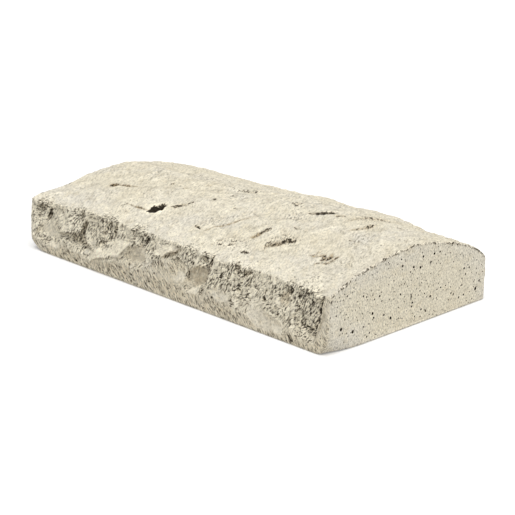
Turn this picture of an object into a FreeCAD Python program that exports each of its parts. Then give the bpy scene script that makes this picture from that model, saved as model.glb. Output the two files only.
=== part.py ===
"""Saddle-back wall coping stone, cast in one piece with a hewn top and pitched long edges.

Frame: X along the wall, Y across it, Z up; the origin is the middle of the flat bed.
The stone is a moulded blank, trimmed by a hewn section that changes along its length.
Spalls of the pitching chisel are cut out of its two long sides, above a smooth margin,
and broad flakes out of its top. Chips and outlined hollows are broken out of the spalls,
and ledges stand on them.
"""

import FreeCAD
import Part
import Sketcher

import math
import os

NODE = "coping_stone"
ON_BED = 0.001  # an edge no higher than this lies on the bed

# Driving dimensions in millimetres.
SIZES = {
    "length": 457.2,  # along the wall, 18 in
    "width": 254.0,  # across the wall, 10 in
    "edge_height": 50.8,  # lowest long edge, 2 in
    "peak_height": 88.9,  # highest point of the ridge, 3 1/2 in
    "corner_radius": 4.0,  # upright corners of the mould
    "bed_radius": 2.0,  # arris round the bed
    "edge_setback": 3.0,  # lean of each long side, taken at its upper edge
    "foot_flare": 1.5,  # the same lean carried on below the bed
    "trim_allowance": 6.0,  # how far a trimming form runs past what it trims
    "ledge_root": 16.0,  # how far a ledge runs into the stone
}
BREAK_ANGLE = 40.0  # flare of a hollow's walls, in degrees

# Hewn sections, evenly spaced from the far end (-X) to the near end (+X).
# Each row: ridge below the peak, ridge behind the middle, front and rear edge above
# the edge height, and the rise of the front and rear slopes over their chords.
SECTION_WORDS = ("ridge_drop", "ridge_shift", "front_rise", "rear_rise", "front_crown", "rear_crown")
SECTIONS = (
    (14.0, 16.0, 9.0, 0.5, 2.5, 2.0),
    (5.0, 14.0, 12.5, 3.0, 5.0, 4.5),
    (2.0, 10.0, 14.5, 4.0, 6.0, 5.0),
    (3.5, 16.0, 12.0, 11.0, 6.0, 5.0),
    (1.5, 22.0, 9.5, 13.5, 5.0, 4.0),
    (0.0, 20.0, 9.5, 8.5, 6.0, 5.0),
    (0.5, 4.0, 13.0, 3.0, 6.0, 6.5),
)

# Spalls left by the pitching chisel, evenly spaced from the far end along each long edge.
# Each row: stray from the even place as a share of the spacing, half length along the
# edge, depth into the side, and height of the smooth margin left below.
SPALL_WORDS = ("stray", "reach", "bite", "margin")
SPALLS = {
    "front": (
        (0.25, 38.0, 7.0, 14.0),
        (0.00, 50.0, 8.5, 20.0),
        (0.15, 40.0, 5.0, 32.0),
        (0.00, 56.0, 6.5, 30.0),
        (-0.12, 48.0, 8.0, 22.0),
        (0.05, 60.0, 7.0, 24.0),
        (0.05, 46.0, 9.0, 18.0),
        (-0.30, 37.0, 8.0, 16.0),
    ),
    "rear": (
        (0.25, 38.0, 8.0, 18.0),
        (0.15, 44.0, 6.0, 26.0),
        (-0.10, 58.0, 8.5, 20.0),
        (0.10, 46.0, 5.5, 30.0),
        (0.00, 54.0, 9.0, 19.0),
        (-0.15, 48.0, 7.0, 25.0),
        (0.08, 60.0, 7.5, 21.0),
        (-0.30, 37.0, 7.0, 15.0),
    ),
}

# Broad flakes struck off the hewn top. Each row: place along and across the stone as
# shares of its length and width, half breadth, and depth.
FLAKE_WORDS = ("along", "across", "breadth", "depth")
FLAKES = (
    (0.04, 0.22, 42.0, 3.5),
    (0.35, 0.20, 62.0, 3.5),
    (0.57, 0.33, 50.0, 2.5),
    (0.84, 0.24, 60.0, 3.0),
    (0.24, 0.55, 52.0, 2.5),
    (0.66, 0.50, 48.0, 2.5),
    (0.08, 0.78, 50.0, 3.0),
    (0.41, 0.80, 60.0, 3.5),
    (0.61, 0.90, 42.0, 3.0),
    (0.87, 0.93, 36.0, 4.0),
)

# Rock face of a long side, as seen on the front; the rear has the same, turned half round.
# A place on it is a share of the length from the middle and a share of the edge height.

# Chips. Each row: place, half breadth and depth of the chip, and depth of its floor
# behind the side.
CHIP_WORDS = ("along", "up", "breadth", "depth", "floor")
CHIPS = (
    (-0.444, 0.93, 15.0, 4.0, 9.2),
    (-0.284, 0.98, 16.0, 3.5, 10.0),
    (-0.214, 1.10, 22.0, 4.0, 7.0),
    (-0.085, 1.06, 18.0, 3.0, 7.4),
    (0.035, 0.98, 15.0, 3.0, 9.5),
    (0.116, 1.14, 14.0, 3.5, 7.8),
    (0.168, 0.87, 16.0, 2.8, 6.6),
    (0.214, 1.12, 20.0, 4.0, 9.6),
    (0.225, 0.75, 14.0, 2.8, 5.6),
    (0.282, 0.98, 20.0, 3.2, 10.2),
    (0.306, 0.65, 16.0, 2.6, 7.4),
    (0.365, 0.98, 15.0, 3.5, 10.0),
    (0.350, 0.59, 14.0, 2.4, 5.8),
)

# Hollows with a flat floor. Each row: depth of the floor behind the side, and corners.
HOLLOWS = (
    (6.0, ((-0.461, 0.67), (-0.431, 0.77), (-0.398, 0.61), (-0.405, 0.35), (-0.468, 0.45))),
    (6.5, ((-0.357, 0.65), (-0.311, 0.77), (-0.280, 0.47), (-0.319, 0.47), (-0.348, 0.51))),
    (5.0, ((-0.151, 0.57), (-0.127, 0.87), (-0.090, 0.91), (-0.083, 0.61), (-0.129, 0.51))),
    (7.0, ((0.052, 0.73), (0.090, 0.91), (0.122, 0.98), (0.120, 0.75),
           (0.107, 0.53), (0.079, 0.47), (0.057, 0.51))),
    (8.2, ((0.396, 0.98), (0.446, 1.06), (0.466, 1.06), (0.472, 0.85),
           (0.466, 0.59), (0.453, 0.37), (0.409, 0.41))),
)

# Ledges, which stand out more and more towards a lip. Each row: direction of the lip in
# degrees, depth behind the side where the ledge starts and at its lip, and corners.
LEDGES = (
    (-80.0, 7.0, 1.0, ((-0.411, 0.87), (-0.361, 1.12), (-0.304, 1.06), (-0.313, 0.77), (-0.387, 0.61))),
    (-62.0, 6.0, 0.0, ((-0.278, 0.18), (-0.267, 0.41), (-0.212, 0.73), (-0.173, 0.91), (-0.133, 0.91),
                       (-0.168, 0.57), (-0.217, 0.43), (-0.254, 0.30))),
    (-62.0, 8.0, 2.0, ((-0.059, 0.89), (-0.033, 1.04), (-0.007, 1.12), (0.022, 1.12),
                       (-0.022, 0.89), (-0.050, 0.83))),
)

doc = FreeCAD.newDocument("wall_coping")


def make_sheet():
    """The spreadsheet of driving dimensions; every cell has an alias."""
    sheet = doc.addObject("Spreadsheet::Sheet", "sizes")
    cells = dict(SIZES)
    for i, row in enumerate(SECTIONS):
        cells.update({f"{word}_{i}": value for word, value in zip(SECTION_WORDS, row)})
    for side, rows in SPALLS.items():
        for i, row in enumerate(rows):
            cells.update({f"{side}_{word}_{i}": value for word, value in zip(SPALL_WORDS, row)})
    for i, row in enumerate(FLAKES):
        cells.update({f"flake_{word}_{i}": value for word, value in zip(FLAKE_WORDS, row)})
    for i, row in enumerate(CHIPS):
        cells.update({f"chip_{word}_{i}": value for word, value in zip(CHIP_WORDS, row)})
    for line, (alias, value) in enumerate(cells.items(), start=1):
        sheet.set(f"A{line}", alias)
        sheet.set(f"B{line}", str(value))
        sheet.setAlias(f"B{line}", alias)
    doc.recompute()
    return sheet


sheet = make_sheet()


def cell(alias):
    """The alias as an expression term."""
    return f"<<sizes>>.{alias}"


def size(alias):
    """The alias's present value."""
    return float(sheet.get(alias))


def origin_plane(body, role):
    return next(f for f in body.Origin.OriginFeatures if f.Role == role)


def bind(sketch, kind, terms, expression):
    """Adds a dimension to a sketch and drives it from the sheet."""
    index = sketch.addConstraint(Sketcher.Constraint(kind, *terms))
    sketch.setExpression(f"Constraints[{index}]", expression)


def make_blank():
    """The mould's outline: a slab with round upright corners and a round bed arris."""
    body = doc.addObject("PartDesign::Body", "blank")
    plan = body.newObject("Sketcher::SketchObject", "plan")
    plan.AttachmentSupport = [(origin_plane(body, "XY_Plane"), "")]
    plan.MapMode = "FlatFace"
    half_length, half_width = size("length") / 2, size("width") / 2
    corners = [
        FreeCAD.Vector(-half_length, -half_width, 0),
        FreeCAD.Vector(half_length, -half_width, 0),
        FreeCAD.Vector(half_length, half_width, 0),
        FreeCAD.Vector(-half_length, half_width, 0),
    ]
    for i, corner in enumerate(corners):
        plan.addGeometry(Part.LineSegment(corner, corners[(i + 1) % 4]))
    for i in range(4):
        plan.addConstraint(Sketcher.Constraint("Coincident", i, 2, (i + 1) % 4, 1))
    for i, kind in enumerate(("Horizontal", "Vertical", "Horizontal", "Vertical")):
        plan.addConstraint(Sketcher.Constraint(kind, i))
    plan.addConstraint(Sketcher.Constraint("Symmetric", 0, 1, 2, 1, -1, 1))
    bind(plan, "DistanceX", (0, 1, 0, 2, size("length")), cell("length"))
    bind(plan, "DistanceY", (1, 1, 1, 2, size("width")), cell("width"))
    pad = body.newObject("PartDesign::Pad", "slab")
    pad.Profile = plan
    pad.setExpression("Length", f"{cell('peak_height')} + {cell('trim_allowance')}")
    doc.recompute()
    uprights = edges_where(pad, lambda box: box.ZLength > box.XLength + box.YLength)
    rounded = dress(body, pad, "upright_corners", uprights, "corner_radius")
    bed = edges_where(rounded, lambda box: box.ZMax < ON_BED)
    dress(body, rounded, "bed_arris", bed, "bed_radius")
    return body


def edges_where(feature, wanted):
    """Names of the feature's edges whose boxes pass the test."""
    edges = enumerate(feature.Shape.Edges, start=1)
    return [f"Edge{i}" for i, edge in edges if wanted(edge.BoundBox)]


def dress(body, base, name, edges, radius):
    """A fillet of a radius from the sheet on the base's edges."""
    fillet = body.newObject("PartDesign::Fillet", name)
    fillet.Base = (base, edges)
    fillet.setExpression("Radius", cell(radius))
    doc.recompute()
    return fillet


def chord_radius(rise, run, drop):
    """Expression for the radius of an arc with that rise over a chord's run and drop."""
    return f"(({run})^2 + ({drop})^2 + 4 * {rise}^2) / (8 * {rise})"


def make_section(body, index):
    """One hewn cross-section: bed, two leaning sides and two crowned slopes."""
    names = {word: f"{word}_{index}" for word in SECTION_WORDS}
    ridge_y = cell(names["ridge_shift"])
    ridge_z = f"{cell('peak_height')} - {cell(names['ridge_drop'])}"
    front_y = f"{cell('width')} / 2 - {cell('edge_setback')}"
    front_z = f"{cell('edge_height')} + {cell(names['front_rise'])}"
    rear_z = f"{cell('edge_height')} + {cell(names['rear_rise'])}"
    foot_y = f"{cell('width')} / 2 + {cell('foot_flare')}"
    foot_z = cell("trim_allowance")

    ridge = FreeCAD.Vector(size(names["ridge_shift"]), size("peak_height") - size(names["ridge_drop"]), 0)
    edge_y = size("width") / 2 - size("edge_setback")
    base_y = size("width") / 2 + size("foot_flare")
    front = FreeCAD.Vector(-edge_y, size("edge_height") + size(names["front_rise"]), 0)
    rear = FreeCAD.Vector(edge_y, size("edge_height") + size(names["rear_rise"]), 0)
    front_foot = FreeCAD.Vector(-base_y, -size("trim_allowance"), 0)
    rear_foot = FreeCAD.Vector(base_y, -size("trim_allowance"), 0)

    def crowned(start, end, rise):
        across = (end - start).normalize()
        middle = (start + end) / 2 + FreeCAD.Vector(-across.y, across.x, 0) * rise
        return Part.Arc(start, middle, end)

    sketch = body.newObject("Sketcher::SketchObject", f"section_{index}")
    sketch.AttachmentSupport = [(origin_plane(body, "YZ_Plane"), "")]
    sketch.MapMode = "FlatFace"
    share = f"{index} / {len(SECTIONS) - 1} - 0.5"
    sketch.setExpression(
        "AttachmentOffset.Base.z",
        f"({cell('length')} + 2 * {cell('trim_allowance')}) * ({share})",
    )
    sketch.addGeometry(Part.LineSegment(front_foot, rear_foot))
    sketch.addGeometry(Part.LineSegment(rear_foot, rear))
    sketch.addGeometry(crowned(ridge, rear, size(names["rear_crown"])))
    sketch.addGeometry(crowned(front, ridge, size(names["front_crown"])))
    sketch.addGeometry(Part.LineSegment(front, front_foot))
    bed, rear_side, rear_slope, front_slope, front_side = range(5)
    # An arc runs counter-clockwise, so each slope's start is the end nearer the rear.
    for joint in (
        (bed, 2, rear_side, 1),
        (rear_side, 2, rear_slope, 1),
        (rear_slope, 2, front_slope, 1),
        (front_slope, 2, front_side, 1),
        (front_side, 2, bed, 1),
    ):
        sketch.addConstraint(Sketcher.Constraint("Coincident", *joint))
    places = (
        (bed, 1, base_y, foot_y, size("trim_allowance"), foot_z, -1, -1),
        (bed, 2, base_y, foot_y, size("trim_allowance"), foot_z, 1, -1),
        (rear_side, 2, edge_y, front_y, rear.y, rear_z, 1, 1),
        (front_side, 1, edge_y, front_y, front.y, front_z, -1, 1),
        (rear_slope, 2, ridge.x, ridge_y, ridge.y, ridge_z, 1, 1),
    )
    for edge, end, y_now, y_term, z_now, z_term, y_sign, z_sign in places:
        across = (-1, 1, edge, end) if y_sign > 0 else (edge, end, -1, 1)
        upward = (-1, 1, edge, end) if z_sign > 0 else (edge, end, -1, 1)
        bind(sketch, "DistanceX", (*across, y_now), y_term)
        bind(sketch, "DistanceY", (*upward, z_now), z_term)
    slopes = (
        (front_slope, "front_crown", f"{front_y} + {ridge_y}", f"{ridge_z} - ({front_z})"),
        (rear_slope, "rear_crown", f"{front_y} - {ridge_y}", f"{ridge_z} - ({rear_z})"),
    )
    for edge, word, run, drop in slopes:
        radius = sketch.Geometry[edge].Radius
        bind(sketch, "Radius", (edge, radius), chord_radius(cell(names[word]), run, drop))
    return sketch


def make_hewn():
    """The hewn form: a loft through the cross-sections, longer than the blank."""
    body = doc.addObject("PartDesign::Body", "hewn_form")
    sketches = [make_section(body, i) for i in range(len(SECTIONS))]
    loft = body.newObject("PartDesign::AdditiveLoft", "hewn_loft")
    loft.Profile = sketches[0]
    loft.Sections = sketches[1:]
    loft.Ruled = False
    doc.recompute()
    return body


def scar_radius(breadth, depth):
    """Expression for the radius of a ball that cuts a scar of that half breadth and depth."""
    return f"({breadth}^2 + {depth}^2) / (2 * {depth})"


def make_spalls():
    """Balls that cut shallow scars along both long sides, deepest near the upper arris."""
    balls = []
    for side, outward in (("front", -1), ("rear", 1)):
        count = len(SPALLS[side])
        for i in range(count):
            stray, reach, bite, margin = (cell(f"{side}_{word}_{i}") for word in SPALL_WORDS)
            radius = scar_radius(reach, bite)
            place = f"({i} + 0.5 + {stray}) / {count} - 0.5"
            ball = doc.addObject("Part::Sphere", f"{side}_spall_{i}")
            ball.setExpression("Radius", radius)
            ball.setExpression("Placement.Base.x", f"{cell('length')} * ({place})")
            ball.setExpression("Placement.Base.y", f"{outward} * ({cell('width')} / 2 + {radius} - {bite})")
            ball.setExpression("Placement.Base.z", f"{margin} + {reach}")
            balls.append(ball)
    return balls


def surface_at(shape, x, y):
    """The highest point of a shape above a place on the bed, and its outward normal."""
    top = shape.BoundBox.ZMax + size("trim_allowance")
    probe = Part.makeLine(FreeCAD.Vector(x, y, 0), FreeCAD.Vector(x, y, top))
    point = max(shape.common(probe).Vertexes, key=lambda v: v.Z).Point
    face = min(shape.Faces, key=lambda f: f.distToShape(Part.Vertex(point))[0])
    return point, face.normalAt(*face.Surface.parameter(point))


def make_flakes(form):
    """Balls that cut broad scars in the hewn top, each seated on the form's own surface."""
    balls = []
    for i in range(len(FLAKES)):
        along, across, breadth, depth = (f"flake_{word}_{i}" for word in FLAKE_WORDS)
        x = size("length") * (size(along) - 0.5)
        y = size("width") * (size(across) - 0.5)
        point, normal = surface_at(form.Shape, x, y)
        ball = doc.addObject("Part::Sphere", f"flake_{i}")
        ball.setExpression("Radius", scar_radius(cell(breadth), cell(depth)))
        doc.recompute()
        ball.Placement.Base = point + normal * (ball.Radius.Value - size(depth))
        # The ball lies on its side, so that its poles are far from the scar.
        ball.Placement.Rotation = FreeCAD.Rotation(FreeCAD.Vector(0, 1, 0), normal)
        balls.append(ball)
    return balls


def side_name(outward):
    return "front" if outward < 0 else "rear"


def make_chips(outward):
    """Balls that cut chips out of a long side."""
    balls = []
    for i in range(len(CHIPS)):
        along, up, breadth, depth, floor = (cell(f"chip_{word}_{i}") for word in CHIP_WORDS)
        radius = scar_radius(breadth, depth)
        ball = doc.addObject("Part::Sphere", f"{side_name(outward)}_chip_{i}")
        ball.setExpression("Radius", radius)
        ball.setExpression("Placement.Base.x", f"{-outward} * {cell('length')} * {along}")
        ball.setExpression("Placement.Base.y", f"{outward} * ({cell('width')} / 2 + {radius} - {floor})")
        ball.setExpression("Placement.Base.z", f"{cell('edge_height')} * {up}")
        balls.append(ball)
    return balls


def sets_apart(balls):
    """The balls in sets, each of balls that don't touch one another."""
    doc.recompute()

    def clear(ball, other):
        gap = ball.Placement.Base.distanceToPoint(other.Placement.Base)
        return gap > ball.Radius.Value + other.Radius.Value

    sets = []
    for ball in balls:
        home = next((group for group in sets if all(clear(ball, other) for other in group)), None)
        if home is None:
            sets.append([ball])
        else:
            home.append(ball)
    return sets


def together(name, items):
    """Solids that don't touch, as one tool."""
    tool = doc.addObject("Part::Compound", name)
    tool.Links = items
    return tool


def on_side(outward, along, up, depth):
    """A place on a long side's rock face, at a depth behind it."""
    x, z = size("length") * along, size("edge_height") * up
    return FreeCAD.Vector(-outward * x, outward * (size("width") / 2 - depth), z)


def make_prism(name, corners, along_y, reach, taper):
    """A prism from a flat outline along Y, which widens on the way by the taper."""
    outline = doc.addObject("Part::Polygon", f"{name}_outline")
    outline.Nodes = corners
    outline.Close = True
    prism = doc.addObject("Part::Extrusion", name)
    prism.Base = outline
    prism.DirMode = "Custom"
    prism.Dir = FreeCAD.Vector(0, along_y, 0)
    prism.LengthFwd = reach
    prism.Solid = True
    prism.TaperAngle = taper
    return prism


def make_hollows(outward):
    """Prisms that cut hollows with flat floors and flared walls out of a long side."""
    prisms = []
    for i, (floor, corners) in enumerate(HOLLOWS):
        places = [on_side(outward, along, up, floor) for along, up in corners]
        reach = floor + size("trim_allowance")
        name = f"{side_name(outward)}_hollow_{i}"
        prisms.append(make_prism(name, places, outward, reach, BREAK_ANGLE))
    return prisms


def make_ledges(outward):
    """Prisms with a leaning face, rooted in a long side, whose lips stand out."""
    prisms = []
    for i, (turn, start, lip, corners) in enumerate(LEDGES):
        lean = math.radians(turn)
        ways = [
            size("length") * along * math.cos(lean) + size("edge_height") * up * math.sin(lean)
            for along, up in corners
        ]
        low, high = min(ways), max(ways)
        depths = [start + (lip - start) * (way - low) / (high - low) for way in ways]
        places = [on_side(outward, along, up, depth) for (along, up), depth in zip(corners, depths)]
        name = f"{side_name(outward)}_ledge_{i}"
        prisms.append(make_prism(name, places, -outward, size("ledge_root"), 0.0))
    return prisms


def cut_by(stone, tools):
    """The stone less each of the tools in turn."""
    for tool in tools:
        scarred = doc.addObject("Part::Cut", f"{tool.Name}_scar")
        scarred.Base = stone
        scarred.Tool = tool
        stone = scarred
    doc.recompute()
    return stone


def make_stone():
    """The finished stone: the blank within the hewn form, less its scars, with its ledges."""
    trimmed = doc.addObject("Part::Common", "trimmed")
    trimmed.Base = make_blank()
    trimmed.Tool = make_hewn()
    doc.recompute()
    chips = sets_apart(make_chips(-1) + make_chips(1))
    tools = make_spalls() + make_flakes(trimmed)
    tools += [together(f"chips_{i}", balls) for i, balls in enumerate(chips)]
    tools.append(together("hollows", make_hollows(-1) + make_hollows(1)))
    stone = doc.addObject("Part::Fuse", "with_ledges")
    stone.Base = cut_by(trimmed, tools)
    stone.Tool = together("ledges", make_ledges(-1) + make_ledges(1))
    stone.Label = NODE
    doc.recompute()
    return stone


def check(stone):
    """Stops if any object failed, or the stone isn't one sound solid."""
    for item in doc.Objects:
        if {"Invalid", "Error"} & set(item.State):
            raise RuntimeError(f"{item.Label} failed: {item.State}")
    shape = stone.Shape
    if shape.isNull() or not shape.isValid() or len(shape.Solids) != 1:
        raise RuntimeError(f"{stone.Label} isn't one valid solid")


stone = make_stone()
check(stone)
os.makedirs("parts", exist_ok=True)
stone.Shape.exportStep(os.path.join("parts", f"{stone.Label}.step"))
box = stone.Shape.optimalBoundingBox(False)
litres = stone.Shape.Volume / 1e6
print(f"{stone.Label}: {box.XLength:.2f} x {box.YLength:.2f} x {box.ZLength:.2f} mm, {litres:.3f} litres")
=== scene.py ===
import itertools
import math
from collections import namedtuple

import bmesh
import bpy
import numpy as np
from mathutils import Matrix, Vector
from mathutils.bvhtree import BVHTree
from mathutils.geometry import delaunay_2d_cdt


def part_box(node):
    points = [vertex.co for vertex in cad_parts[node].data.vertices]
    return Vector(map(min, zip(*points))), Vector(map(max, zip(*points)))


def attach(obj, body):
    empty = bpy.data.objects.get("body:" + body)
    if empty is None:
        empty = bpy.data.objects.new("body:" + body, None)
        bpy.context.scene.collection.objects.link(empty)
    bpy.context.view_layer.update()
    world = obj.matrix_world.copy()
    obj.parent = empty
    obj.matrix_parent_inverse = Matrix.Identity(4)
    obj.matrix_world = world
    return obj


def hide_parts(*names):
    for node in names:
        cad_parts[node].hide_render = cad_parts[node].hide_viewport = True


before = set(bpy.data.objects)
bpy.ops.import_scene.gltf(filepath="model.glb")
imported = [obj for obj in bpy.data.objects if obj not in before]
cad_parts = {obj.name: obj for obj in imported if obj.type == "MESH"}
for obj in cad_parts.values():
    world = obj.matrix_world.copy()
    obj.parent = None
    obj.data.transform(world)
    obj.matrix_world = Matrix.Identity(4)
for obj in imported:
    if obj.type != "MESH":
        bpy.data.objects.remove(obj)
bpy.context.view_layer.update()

NODE = "coping_stone"
BODY = "root"
MM = 0.001  # metres in a millimetre
LOW, HIGH = (np.array(corner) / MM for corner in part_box(NODE))

# Mesh
VOXEL = 1.1  # even mesh that carries the relief
MOST_TRIANGLES = 188000
REACH = 9.0  # depth below a face over which its relief fades out
PITCH = 0.8  # spacing of the relief maps
SKIRT = 8.0  # how far a relief map runs past the stone
FLAT = 0.25  # how far off its plane the flat part of an end may lie
HOLE_SIDES = 9
HOLE_GROWTH = 1.3  # how much wider the holes of the ends are than they seem in the photograph
GRAIN_TURN = 25  # degrees by which the top's grain is turned from straight across
ARRIS_FOOT = 48.0  # an end's rim above this is its upper arris
BED_RIM = 8.0  # an end's rim below this lies along the bed
BED_FADE = 3.0  # height above the bed over which the relief of the sides sets in
PAINT_REACH = 1.2  # how far a face's maps reach over to its neighbours
HOLE_SPACING = 6.0  # least distance between air holes of an end, and from its sides
RIM_INSET = 1.6  # distance of the first row of points inside an end's rim
END_GRID = 6.0  # spacing of the points on an end

# Photograph's camera, in its 515 pixel frame
FRAME_PIXELS = 515
FOCAL_PIXELS = 1800.0
AZIMUTH, ELEVATION, ROLL = 43.627, 18.732, 1.566
DISTANCE = 1999.0
SIDEWAYS, UPWARDS = 8.037, 16.5

# A dent or crack: place on its face, length along its turn (degrees), width, depth, and how black and how
# brown it is. Its black is painted shade; one of no depth is a patch of painted shade, or a brown stain
# where it has no black. One with a depth below zero is a swelling.
Dent = namedtuple("Dent", "u v length width depth turn dark brown")

# A hollow with an outline of its own, and how black its floor is painted as shade, how brown it is stained
# and how smooth its floor is.
Hollow = namedtuple("Hollow", "corners depth dark brown smooth")

# A ledge that stands further out towards its turn (degrees) and ends there in a sharp lip, and how much
# painted highlight its face and lip get; its foot below the lip gets painted shade.
Ledge = namedtuple("Ledge", "corners lift turn pale")

# A worn corner, and how far the wear reaches along each axis, signed outwards.
Worn = namedtuple("Worn", "corner reach")

# Places on the top are along and across the stone from its middle.
TOP_HOLLOWS = (
    Hollow(((-73, -89), (-77, -78), (-72, -66), (-66, -65), (-62, -75), (-63, -86), (-68, -89)),
           8, 1.5, 0.6, 1.0),
)
TOP_DENTS = (
    Dent(128, -14, 84, 26, -2.0, 72, 0.0, 0.0),
    Dent(-49, -58, 24, 4.6, 2.0, 56, 1.0, 0.4),
    Dent(-88, -87, 22, 2.6, 1.2, 12, 0.45, 0.9),
    Dent(-161, -57.5, 9, 7, 4.0, 0, 0.95, 1.0),
    Dent(-141, -55, 22, 3.2, 1.5, 10, 0.5, 0.9),
    Dent(-151.5, 5, 17, 2.8, 1.5, 100, 0.6, 0.2),
    Dent(-101, -24, 5, 3.4, 2.0, 60, 0.7, 0.4),
    Dent(-76.5, -28, 7, 3.4, 2.0, 60, 0.8, 0.4),
    Dent(-28, -30.5, 3.4, 3, 1.5, 0, 0.8, 0.0),
    Dent(5, -30, 6, 3.2, 1.5, 45, 0.8, 0.1),
    Dent(-64, -4.5, 8, 3, 1.5, 70, 0.8, 0.3),
    Dent(5.5, -87.5, 13, 3, 1.5, -15, 0.9, 0.3),
    Dent(-25, 19.5, 18, 4, 1.6, 44, 0.6, 0.1),
    Dent(46, 23, 11, 10, 1.6, 0, 0.4, 0.2),
    Dent(50, 18, 4.5, 3.4, 2.0, 0, 0.9, 0.0),
    Dent(80, 15.5, 15, 6, 4.0, 30, 1.1, 0.4),
    Dent(91, 21, 19, 7, 4.0, 22, 1.1, 0.4),
    Dent(111, 20, 15, 3.2, 1.5, 5, 0.65, 0.5),
    Dent(72.5, -66, 17, 5, 1.0, 86, 0.5, 0.8),
    Dent(73.2, -54, 12, 6.4, 2.0, 92, 0.95, 0.4),
    Dent(96, -31, 10, 3.2, 2.0, -15, 0.85, 0.2),
    Dent(96.5, -48.5, 8, 3.6, 2.0, 30, 0.85, 0.2),
    Dent(101, -66, 20, 8, 2.5, 66, 0.6, 0.6),
    Dent(108, -55.5, 14, 7, 3.5, 10, 0.9, 0.4),
    Dent(95, -75, 19, 2.6, 1.2, 110, 0.55, 0.2),
    Dent(53, -100.5, 6, 3.4, 2.0, 20, 0.95, 0.0),
    Dent(63, -98, 8, 3, 2.0, 60, 0.9, 0.0),
    Dent(60, -88.5, 6, 2.8, 1.5, 60, 0.75, 0.0),
    Dent(86, -99, 11, 3.4, 2.0, 25, 0.95, 0.0),
    Dent(25, -60, 46, 2.4, 0.8, 73, 0.3, 0.7),
    Dent(135, 47, 25, 15, 2.5, 60, 0.5, 0.4),
    Dent(131, 31, 6.5, 4.4, 2.0, 0, 0.9, 0.0),
    Dent(156.5, 13, 19, 7, 2.0, 80, 0.6, 0.4),
    Dent(152, -2, 15, 4.4, 1.0, 65, 0.35, 0.6),
    Dent(174.5, 41.5, 9, 4.4, 2.0, 45, 0.75, 0.1),
    Dent(166, 79.5, 15, 6, 1.5, 5, 0.75, 0.2),
    Dent(167, -26, 4, 3, 1.5, 0, 0.8, 0.3),
    Dent(103, -61, 34, 20, 0, 45, 0.3, 0.1),
    Dent(140, 42, 44, 26, 0, 60, 0.3, 0.15),
    Dent(62, -92, 36, 20, 0, 20, 0.26, 0.0),
    Dent(-30, 20, 34, 16, 0, 40, 0.3, 0.0),
)
CRUMBLED = (171, -64, 21, 10)  # middle and half sizes of a patch of small brown strokes on the top

# Places on the front are along the stone and up from the bed.
FRONT_HOLLOWS = (
    Hollow(((-211, 34), (-197, 39), (-182, 31), (-185, 18), (-214, 23)), 0.8, 0.15, 0.1, 0.8),
    Hollow(((-163, 33), (-142, 39), (-128, 24), (-146, 24), (-159, 26)), 1.0, 0.6, 0.4, 0.0),
    Hollow(((-69, 29), (-58, 44), (-41, 46), (-38, 31), (-59, 26)), 0.6, 0.1, 0.35, 0.8),
    Hollow(((24, 37), (41, 46), (56, 50), (55, 38), (49, 27), (36, 24), (26, 26)), 0.8, 0.12, 0.55, 0.9),
    Hollow(((179, 54), (204, 60), (214, 60), (216, 45), (213, 30), (207, 19), (187, 21), (183, 38)),
           0.6, 0.42, 0.1, 0.0),
)
FRONT_LEDGES = (
    Ledge(((-188, 44), (-165, 57), (-139, 54), (-143, 39), (-177, 31)), 1.2, -80, 0.15),
    Ledge(((-127, 9), (-122, 21), (-97, 37), (-79, 46), (-61, 46), (-77, 29), (-99, 22), (-116, 15)),
          2.0, -62, 1.0),
    Ledge(((-27, 45), (-15, 53), (-3, 57), (10, 57), (-10, 45), (-23, 42)), 1.4, -62, 0.8),
)
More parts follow.
